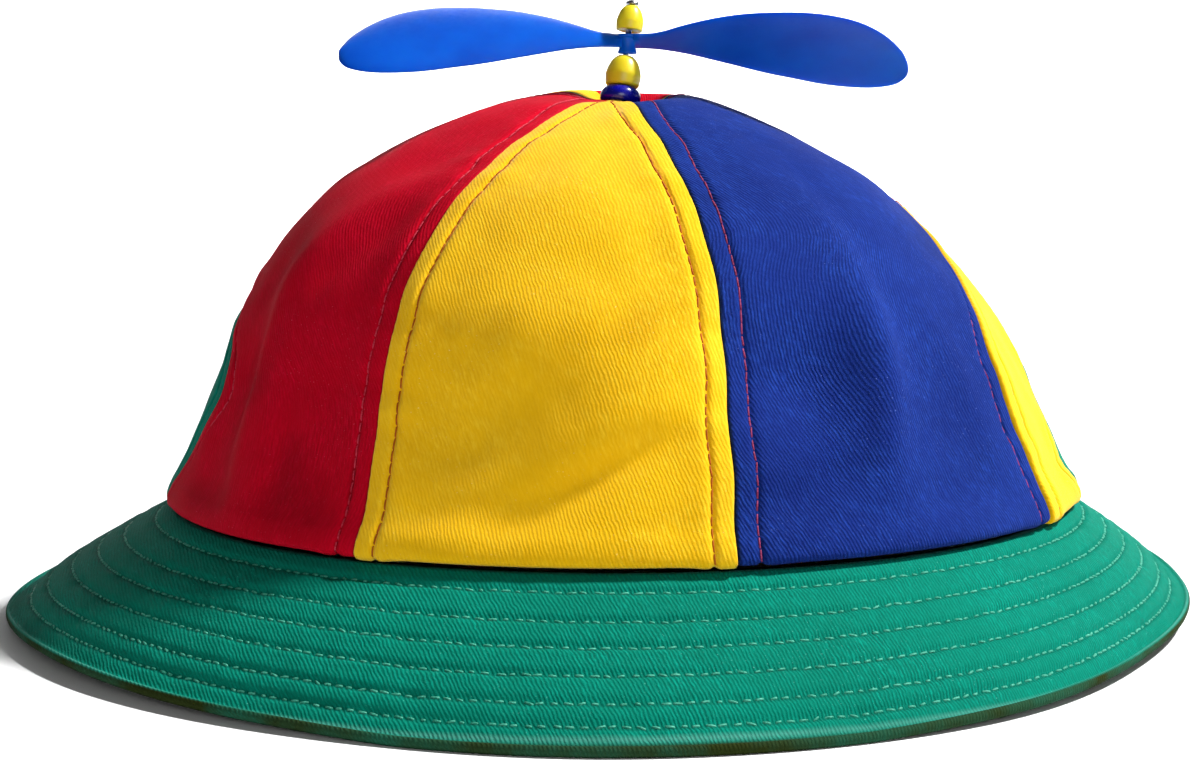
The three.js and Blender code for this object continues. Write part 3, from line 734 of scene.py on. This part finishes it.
def lathe(name, outline_points, material, matrix, body, segments=64):
    """A turned piece from a closed outline of radius and height in millimetres. The matrix is in metres."""
    outline_points = np.array(outline_points, float)
    angles = np.linspace(0, 2 * math.pi, segments, endpoint=False)
    count = len(outline_points)
    points, faces = [], []
    for angle in angles:
        for radius, height in outline_points:
            points.append((radius * math.cos(angle) * MM, radius * math.sin(angle) * MM, height * MM))
    for segment in range(segments):
        here, after = segment * count, (segment + 1) % segments * count
        for place in range(count):
            beside = (place + 1) % count
            faces.append((here + place, after + place, after + beside, here + beside))
    mesh = bpy.data.meshes.new(name)
    mesh.from_pydata(points, [], faces)
    mesh.transform(matrix)
    piece = add_object(name, mesh)
    weld = piece.modifiers.new("weld", "WELD")
    weld.merge_threshold = 1e-6
    piece.data.materials.append(material)
    piece.data.shade_smooth()
    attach(piece, body)
    return piece


def rounded(points, steps=8):
    """A smooth line through a few outline points."""
    points = np.array(points, float)
    padded = np.concatenate([points[:1], points, points[-1:]])
    line = []
    for place in range(len(points) - 1):
        a, b, c, d = padded[place:place + 4]
        line.extend(catmull(a, b, c, d, t) for t in np.linspace(0, 1, steps, endpoint=False))
    return [*line, points[-1]]


def egg_outline(radius, height, drop):
    """A bead's outline, with its flat bottom let down by drop on to what carries it."""
    side = rounded([(share * radius, level * height) for level, share in EGG])
    side[0] = np.array([side[0][0], -drop])
    foot = [(HOLE_RADIUS, -drop), (side[0][0] - 0.25, -drop)]
    crown = [(HOLE_RADIUS + 0.15, height), (HOLE_RADIUS, height - 0.15)]
    return [*foot, *[tuple(p) for p in side[1:]], *crown]


def mast_matrix(along):
    """A place at a height in millimetres along the leaning pin, above the cloth's dimple."""
    lean = Matrix.Rotation(-PIN_LEAN_BACK, 4, "X") @ Matrix.Rotation(PIN_LEAN_RIGHT, 4, "Y")
    foot = CROWN_AXIS + (0, -CROWN_RINGS[-1, 2] * CROWN_RADIUS, BRIM_DROP + CROWN_HEIGHT - DIMPLE_DEPTH)
    return Matrix.Translation(Vector(foot) * MM) @ lean @ Matrix.Translation((0, 0, along * MM))


def make_stack(materials):
    """The button, the beads and the pin, each seated on the one below it, with room for the hub."""
    lean = mast_matrix(0).to_3x3() @ Vector((0, 0, 1))
    slack = lean.angle(Vector((math.sin(PROPELLER_LEAN), 0, math.cos(PROPELLER_LEAN))))
    flare_dip = HUB_FLARE_RADIUS * math.sin(slack)
    lower_seat = BUTTON_SEAT + BUTTON_HEIGHT + CLEARANCE
    hub_centre = lower_seat + LOWER_BEAD_HEIGHT + CLEARANCE + flare_dip + HUB_BELOW_BLADES * math.cos(slack)
    upper_seat = hub_centre + HUB_ABOVE_BLADES * math.cos(slack) + flare_dip + CLEARANCE
    head_seat = upper_seat + UPPER_BEAD_HEIGHT + CLEARANCE

    dome = [
        (DOME_TOP_RADIUS + (BUTTON_RADIUS - DOME_TOP_RADIUS) * math.cos(a), BUTTON_HEIGHT * math.sin(a))
        for a in np.linspace(0, math.pi / 2, 12)
    ]
    brow = [(DOME_TOP_RADIUS - 0.5, BUTTON_HEIGHT + 0.06), (HOLE_RADIUS, BUTTON_HEIGHT + 0.08)]
    foot = [(HOLE_RADIUS, -1.1), (BUTTON_RADIUS - 0.5, -1.1), (BUTTON_RADIUS - 0.06, -0.7)]
    button = lathe("button_dome", [*foot, *dome, *brow], materials["button"], mast_matrix(BUTTON_SEAT), "hat")
    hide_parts("crown_button")

    lower = egg_outline(LOWER_BEAD_RADIUS, LOWER_BEAD_HEIGHT, BEAD_SNUG)
    bead = lathe("bead_below_hub", lower, materials["bead"], mast_matrix(lower_seat), "hat")
    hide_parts("lower_bead")
    upper = egg_outline(UPPER_BEAD_RADIUS, UPPER_BEAD_HEIGHT, 0)
    bead = lathe("bead_above_hub", upper, materials["bead"], mast_matrix(upper_seat), "hat")
    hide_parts("upper_bead")

    head = [(share * PIN_HEAD_RADIUS, head_seat + level * PIN_HEAD_HEIGHT) for level, share in PIN_HEAD]
    head = rounded(head)
    head[-1] = np.array([0.0, head_seat + PIN_HEAD_HEIGHT])
    shaft = [*PIN_FOOT, (PIN_RADIUS, head_seat)]
    pin = lathe("pin_polished", [*shaft, *head], materials["steel"], mast_matrix(0), "hat")
    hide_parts("pin")


def blade_grid(spans=44, around_points=40):
    """One blade as rings of points round its sections, from its root to its tip."""
    table = np.array([(0.02, BLADE_ROOT_CHORD, 0.0), *BLADE_SECTIONS])
    share = 1 - (1 - np.linspace(0, 1, spans)) ** 1.6
    place = share * (len(table) - 1)
    first = np.minimum(place.astype(int), len(table) - 2)
    padded = np.concatenate([table[:1], table, table[-1:]])
    rows = catmull(*[padded[first + step] for step in range(4)], (place - first)[:, None])
    angle = np.linspace(0, 2 * math.pi, around_points, endpoint=False)
    chord, sweep = rows[:, 1:2] * BLADE_CHORD, rows[:, 2:3] * BLADE_CHORD
    along = chord * np.cos(angle) / 2 + sweep
    camber = BLADE_CAMBER * (chord / BLADE_CHORD) * np.sin(angle) ** 2
    raised = BLADE_THICKNESS * np.sin(angle) / 2 + camber
    return np.stack([
        rows[:, 0:1] * BLADE_LENGTH + 0 * along,
        along * math.cos(BLADE_PITCH) + raised * math.sin(BLADE_PITCH),
        raised * math.cos(BLADE_PITCH) - along * math.sin(BLADE_PITCH),
    ], -1)


def closed_rings(name, points):
    """A closed mesh from rings of points, capped at both ends."""
    rings, count = points.shape[:2]
    faces = []
    for ring in range(rings - 1):
        for place in range(count):
            a, b = ring * count + place, ring * count + (place + 1) % count
            faces.append((a, b, b + count, a + count))
    faces.append(tuple(reversed(range(count))))
    faces.append(tuple((rings - 1) * count + place for place in range(count)))
    mesh = bpy.data.meshes.new(name)
    mesh.from_pydata((points.reshape(-1, 3) * MM).tolist(), [], faces)
    piece = add_object(name, mesh)
    return piece


def make_propeller(material):
    """Two pitched, cambered blades fused to a spool-shaped hub, on the joint's axis."""
    spin = frame["joints"][0]
    place = Matrix.Translation(spin["pos_m"]) @ Matrix.Rotation(PROPELLER_LEAN, 4, "Y")
    mouth = HOLE_RADIUS + 0.45
    flare, lip = HUB_FLARE_RADIUS, HUB_LIP
    top, foot = HUB_ABOVE_BLADES, HUB_BELOW_BLADES
    spool = rounded([
        (flare, lip - foot),
        (HUB_WAIST_RADIUS + 0.1, -foot * HUB_NECK_SHARE),
        (HUB_WAIST_RADIUS + 0.1, top * HUB_NECK_SHARE),
        (flare, top - lip),
    ])
    outline_points = [
        (HOLE_RADIUS, 0), (mouth, -foot), (flare - 0.12, -foot), (flare, 0.12 - foot), *spool,
        (flare, top - 0.12), (flare - 0.12, top), (mouth - 0.2, top),
    ]
    hub = lathe("propeller_moulded", outline_points, material, Matrix.Identity(4), "propeller", 48)
    bpy.context.view_layer.update()
    blades = []
    for turn in (0, math.pi):
        blade = closed_rings("blade", blade_grid())
        blades.append(blade)
        blade.data.transform(Matrix.Rotation(turn, 4, "Z"))
        join = hub.modifiers.new("blade", "BOOLEAN")
        join.operation = "UNION"
        join.solver = "EXACT"
        join.object = blade
    evaluated = hub.evaluated_get(bpy.context.evaluated_depsgraph_get())
    joined = bpy.data.meshes.new_from_object(evaluated)
    hub.modifiers.clear()
    hub.data = joined
    for blade in blades:
        bpy.data.objects.remove(blade)
    joined.transform(place)
    joined.shade_smooth()
    hub.data.materials.clear()
    hub.data.materials.append(material)
    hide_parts("propeller")


# Materials


class Graph:
    """A material's node tree, with short ways to add nodes and join them."""

    def __init__(self, name):
        self.material = bpy.data.materials.new(name)
        self.material.use_nodes = True
        self.tree = self.material.node_tree
        self.shader = next(n for n in self.tree.nodes if n.type == "BSDF_PRINCIPLED")

    def add(self, kind, inputs=(), **settings):
        node = self.tree.nodes.new("ShaderNode" + kind)
        for key, value in settings.items():
            setattr(node, key, value)
        for socket, value in dict(inputs).items():
            self.put(node.inputs[socket], value)
        return node

    def put(self, socket, value):
        if isinstance(value, bpy.types.NodeSocket):
            self.tree.links.new(value, socket)
        else:
            socket.default_value = value

    def set(self, name, value):
        self.put(self.shader.inputs[name], value)

    def math(self, operation, *values):
        return self.add("Math", dict(enumerate(values)), operation=operation).outputs[0]

    def noise(self, vector, scale, detail=3.0, roughness=0.55):
        inputs = {"Vector": vector, "Scale": scale, "Detail": detail, "Roughness": roughness}
        return self.add("TexNoise", inputs).outputs["Fac"]

    def ramp(self, value, low, high, to_low=0.0, to_high=1.0):
        inputs = {"Value": value, "From Min": low, "From Max": high, "To Min": to_low, "To Max": to_high}
        return self.add("MapRange", inputs).outputs["Result"]

    def mix(self, factor, a, b, blend="MIX"):
        node = self.add("Mix", data_type="RGBA", blend_type=blend)
        self.put(node.inputs["Factor"], factor)
        self.put(node.inputs["A"], a)
        self.put(node.inputs["B"], b)
        return node.outputs["Result"]


def colour(red, green, blue):
    """A colour from 0 to 255 as the eye sees it, for a shader."""
    parts = [c / 255 for c in (red, green, blue)]
    linear = [p / 12.92 if p <= 0.04045 else ((p + 0.055) / 1.055) ** 2.4 for p in parts]
    return (*linear, 1.0)


def twill(name, base, rib_dark, rib_light, lint_colour, contrast, rough, sheen, edge_wear_and_shade=None):
    """Cotton twill: slanted ribs that come and go, uneven dye, lint, painted shade where the cloth sinks and,
    on the brim, a worn edge darkened with painted shade.
    """
    g = Graph(name)
    cloth = g.add("UVMap", uv_map="cloth").outputs["UV"]
    place = g.add("TexCoord").outputs["Object"]
    parts = g.add("SeparateXYZ", {"Vector": cloth})
    across, up = parts.outputs["X"], parts.outputs["Y"]
    cos, sin = math.cos(RIB_TURN) / (RIB_PITCH * MM), math.sin(RIB_TURN) / (RIB_PITCH * MM)
    ribs = g.math("ADD", g.math("MULTIPLY", across, cos), g.math("MULTIPLY", up, sin))
    ribs = g.math("ADD", ribs, g.math("MULTIPLY", g.noise(cloth, 75.0, 2.0), 1.6))
    ribs = g.math("ADD", ribs, g.math("MULTIPLY", g.noise(cloth, 520.0, 2.0), 0.9))
    wave = g.math("SINE", g.math("MULTIPLY", ribs, 2 * math.pi))
    number = g.math("FLOOR", g.math("ADD", ribs, 0.25))
    runs = g.math("SUBTRACT", g.math("MULTIPLY", up, cos * 0.55), g.math("MULTIPLY", across, sin * 0.55))
    runs = g.math("ADD", runs, g.math("MULTIPLY", number, 0.42))
    floats = g.math("SINE", g.math("MULTIPLY", runs, 2 * math.pi))
    rib = g.ramp(wave, -1.0, 1.0)
    yarn = g.math("MULTIPLY", rib, g.ramp(floats, -1.0, 1.0, 0.7, 1.0))
    fuzz = g.noise(cloth, 4200.0, 3.0, 0.7)
    height = g.math("ADD", yarn, g.math("MULTIPLY", fuzz, 0.9))

    wide = g.ramp(g.noise(place, 60.0, 3.0), 0.38, 0.66, 0.35, 1.0)
    fine = g.ramp(g.noise(cloth, 330.0, 3.0), 0.36, 0.62, 0.3, 1.0)
    shown = g.math("MULTIPLY", wide, fine)
    raised = g.math("ADD", g.math("MULTIPLY", yarn, 0.75), g.math("MULTIPLY", fuzz, 0.3))
    shade = g.mix(raised, rib_dark, rib_light)
    dyed = g.mix(g.math("MULTIPLY", shown, contrast), base, shade)
    dyed = g.mix(g.ramp(g.noise(place, 24.0, 4.0), 0.36, 0.68, 0.0, 0.3), dyed, rib_dark)
    strands = g.add("CombineXYZ", {"X": ribs, "Y": g.math("MULTIPLY", runs, 0.4)}).outputs[0]
    slubs = g.ramp(g.noise(strands, 1.1, 3.0, 0.7), 0.48, 0.7, 0.0, 0.75)
    dyed = g.mix(g.math("MULTIPLY", slubs, wide), dyed, rib_light)
    lint = g.ramp(g.noise(cloth, 2100.0, 3.0, 0.6), 0.655, 0.71, 0.0, 0.5)
    lint = g.math("MULTIPLY", lint, g.ramp(g.noise(place, 52.0, 2.0), 0.42, 0.6))
    dyed = g.mix(lint, dyed, lint_colour)
    tone = g.add("Attribute", attribute_name="tone").outputs["Fac"]
    # Painted shade: the colour darkens where the cloth sinks, in seams, stitch dips, grooves, creases and the
    # hem's roll
    painted_hollow_shade = g.ramp(tone, -0.12, -0.55, 0.0, 0.6)
    dyed = g.mix(painted_hollow_shade, dyed, tuple(0.35 * c for c in rib_dark[:3]) + (1.0,))
    if edge_wear_and_shade is None:
        rubbed = g.ramp(tone, 0.3, 0.8, 0.0, 0.3)
        dyed = g.mix(rubbed, dyed, rib_light)
    else:
        patches = g.ramp(g.noise(place, 34.0, 4.0, 0.65), 0.35, 0.6, 0.65, 1.0)
        frayed = g.math("MULTIPLY", g.ramp(tone, 0.02, 0.2), g.ramp(tone, 0.55, 0.25))
        frayed = g.math("MULTIPLY", frayed, g.math("MULTIPLY", patches, 0.55))
        dyed = g.mix(frayed, dyed, tuple(0.5 * (a + b) for a, b in zip(lint_colour, edge_wear_and_shade)))
        # Painted shade with wear: the nose and underside of the brim's edge darken
        worn = g.math("MULTIPLY", g.ramp(tone, 0.4, 0.65), patches)
        dyed = g.mix(worn, dyed, edge_wear_and_shade)
    g.set("Base Color", dyed)
    g.set("Roughness", 0.88)
    g.set("Specular IOR Level", 0.05)
    g.set("Sheen Weight", sheen)
    g.set("Sheen Roughness", 0.45)
    g.set("Sheen Tint", lint_colour)
    relief = g.add("Bump", {"Height": height, "Strength": 0.6, "Distance": rough})
    g.set("Normal", relief.outputs["Normal"])
    return g.material


def thread(name, base, light):
    """Sewing thread: twisted strands, a little uneven in colour."""
    g = Graph(name)
    place = g.add("TexCoord").outputs["Object"]
    strands = g.noise(place, 2600.0, 2.0)
    shade = g.mix(g.ramp(strands, 0.35, 0.65), base, light)
    worn = g.mix(g.ramp(g.noise(place, 60.0, 3.0), 0.4, 0.7, 0.0, 0.5), shade, light)
    g.set("Base Color", worn)
    g.set("Roughness", 0.6)
    g.set("Specular IOR Level", 0.2)
    relief = g.add("Bump", {"Height": strands, "Strength": 0.6, "Distance": 0.0001})
    g.set("Normal", relief.outputs["Normal"])
    return g.material


def plastic(name, base, deep, rough, marks, shine, soft):
    """Moulded toy plastic: uneven gloss, faint flow marks and scuffs, and light that soaks in a little."""
    g = Graph(name)
    place = g.add("TexCoord").outputs["Object"]
    flow = g.noise(place, 55.0, 3.0)
    g.set("Base Color", g.mix(g.ramp(flow, 0.35, 0.7), base, deep))
    scuffs = g.noise(place, 900.0, 4.0, 0.6)
    g.set("Roughness", g.ramp(scuffs, 0.35, 0.75, rough, rough + 0.14))
    g.set("Specular IOR Level", shine)
    g.set("Subsurface Weight", soft)
    g.set("Subsurface Radius", (0.2, 0.6, 1.0))
    g.set("Subsurface Scale", 0.0015)
    ripple = g.math("ADD", g.math("MULTIPLY", flow, marks), g.math("MULTIPLY", scuffs, 0.03))
    relief = g.add("Bump", {"Height": ripple, "Strength": 0.4, "Distance": 0.0006})
    g.set("Normal", relief.outputs["Normal"])
    return g.material


def steel(name):
    """Polished plated steel with fine turned lines."""
    g = Graph(name)
    place = g.add("TexCoord").outputs["Object"]
    marks = g.noise(place, 1400.0, 4.0)
    g.set("Base Color", g.mix(marks, colour(150, 152, 156), colour(214, 216, 218)))
    g.set("Roughness", g.ramp(marks, 0.3, 0.7, 0.18, 0.32))
    g.set("Metallic", 1.0)
    return g.material


def make_materials():
    """Every material by the name of what it covers."""
    materials = {"steel": steel("plated_steel")}
    for name, (*colours, contrast, rough, sheen) in TWILLS.items():
        edge = colour(*BRIM_EDGE_WEAR_AND_SHADE) if name == "brim" else None
        materials[name] = twill("twill_" + name, *[colour(*c) for c in colours], contrast, rough, sheen, edge)
    for name, colours in THREADS.items():
        materials["thread_" + name] = thread("thread_on_" + name, *[colour(*c) for c in colours])
    for name, (base, deep, *finish) in PLASTICS.items():
        materials[name] = plastic("plastic_" + name, colour(*base), colour(*deep), *finish)
    return materials


# Camera, floor and light


# The camera that was fitted to the photo: distance in millimetres, angles in radians, focus in pixels
CAMERA_DISTANCE = 527.28
CAMERA_ELEVATION = 0.15177
CAMERA_YAW = -0.010386
CAMERA_PITCH = -0.107435
CAMERA_ROLL = -0.005873
CAMERA_FOCUS = 2474.1
PHOTO_WIDTH = 1192
SENSOR_WIDTH = 36


def make_camera():
    """A camera where the photo's was, which looks at the hat from a little above."""
    data = bpy.data.cameras.new("camera")
    data.sensor_width = SENSOR_WIDTH
    data.lens = SENSOR_WIDTH * CAMERA_FOCUS / PHOTO_WIDTH
    data.clip_start = 0.02
    data.clip_end = 50
    camera = add_object("camera", data)
    base = CROWN_AXIS + (0, 0, BRIM_DROP)
    away = np.array([0, -math.cos(CAMERA_ELEVATION), math.sin(CAMERA_ELEVATION)]) * CAMERA_DISTANCE
    forward = Vector((
        math.sin(CAMERA_YAW) * math.cos(CAMERA_PITCH),
        math.cos(CAMERA_YAW) * math.cos(CAMERA_PITCH),
        math.sin(CAMERA_PITCH),
    ))
    level = forward.cross(Vector((0, 0, 1))).normalized()
    up = level.cross(forward)
    right = level * math.cos(CAMERA_ROLL) + up * math.sin(CAMERA_ROLL)
    top = up * math.cos(CAMERA_ROLL) - level * math.sin(CAMERA_ROLL)
    turned = Matrix((right, top, -forward)).transposed().to_4x4()
    camera.matrix_world = Matrix.Translation(Vector(base + away) * MM) @ turned
    bpy.context.scene.camera = camera


def make_floor():
    """A pale studio sweep: flat under the hat, and curving up far behind it."""
    reach, bend, start = 6.0, 1.2, 1.6
    profile = [(-reach, 0.0), (start, 0.0)]
    for angle in np.linspace(0, math.pi / 2, 24)[1:]:
        profile.append((start + bend * math.sin(angle), bend - bend * math.cos(angle)))
    profile.append((start + bend, reach))
    points = [(x, y, z) for y, z in profile for x in (-reach, reach)]
    faces = [(2 * k, 2 * k + 1, 2 * k + 3, 2 * k + 2) for k in range(len(profile) - 1)]
    mesh = bpy.data.meshes.new("floor")
    mesh.from_pydata(points, [], faces)
    mesh.shade_smooth()
    floor = add_object("floor", mesh)
    g = Graph("pale_floor")
    place = g.add("TexCoord").outputs["Object"]
    pale = g.mix(g.noise(place, 3.0), (0.91, 0.91, 0.91, 1), (0.94, 0.94, 0.94, 1))
    g.set("Base Color", pale)
    g.set("Roughness", 0.9)
    g.set("Specular IOR Level", 0.1)
    mesh.materials.append(g.material)


def area_light(name, place, aim, size, power, spread=180):
    """A round soft light that shines at a point."""
    data = bpy.data.lights.new(name, "AREA")
    data.shape = "DISK"
    data.size = size
    data.energy = power
    data.spread = math.radians(spread)
    light = add_object(name, data)
    light.location = place
    light.rotation_euler = (Vector(aim) - Vector(place)).to_track_quat("-Z", "Y").to_euler()


def make_light():
    """A key light high at the right, a broad fill in front, and a light on the sweep behind."""
    world = bpy.data.worlds.new("studio")
    world.use_nodes = True
    background = world.node_tree.nodes["Background"]
    background.inputs["Color"].default_value = (1, 1, 1, 1)
    background.inputs["Strength"].default_value = 0.07
    bpy.context.scene.world = world
    hat = (0, 0, 0.06)
    area_light("key", (0.81, 0.1, 1.12), hat, 0.16, 37.0)
    area_light("fill", (0.2, -1.57, 0.4), hat, 0.9, 7.5)
    area_light("backdrop", (0, 1.5, 2.0), (0, 2.4, 0.4), 2.2, 60.0, 100)


def main():
    scene = bpy.context.scene
    scene.view_settings.view_transform = "Standard"
    make_camera()
    make_floor()
    make_light()
    materials = make_materials()
    for place, (_, tint, _, _) in enumerate(PANELS):
        make_panel(place, materials[tint])
        rows = [panel_stitches(place, True), panel_stitches(place, False)]
        make_stitches(f"stitches_panel_{place + 1}", rows, materials["thread_" + tint])
    make_brim(materials["brim"])
    rows = [brim_stitches(number) for number in range(len(BRIM_ROWS))]
    make_stitches("stitches_brim", rows, materials["thread_green"])
    make_stack(materials)
    make_propeller(materials["propeller"])


main()
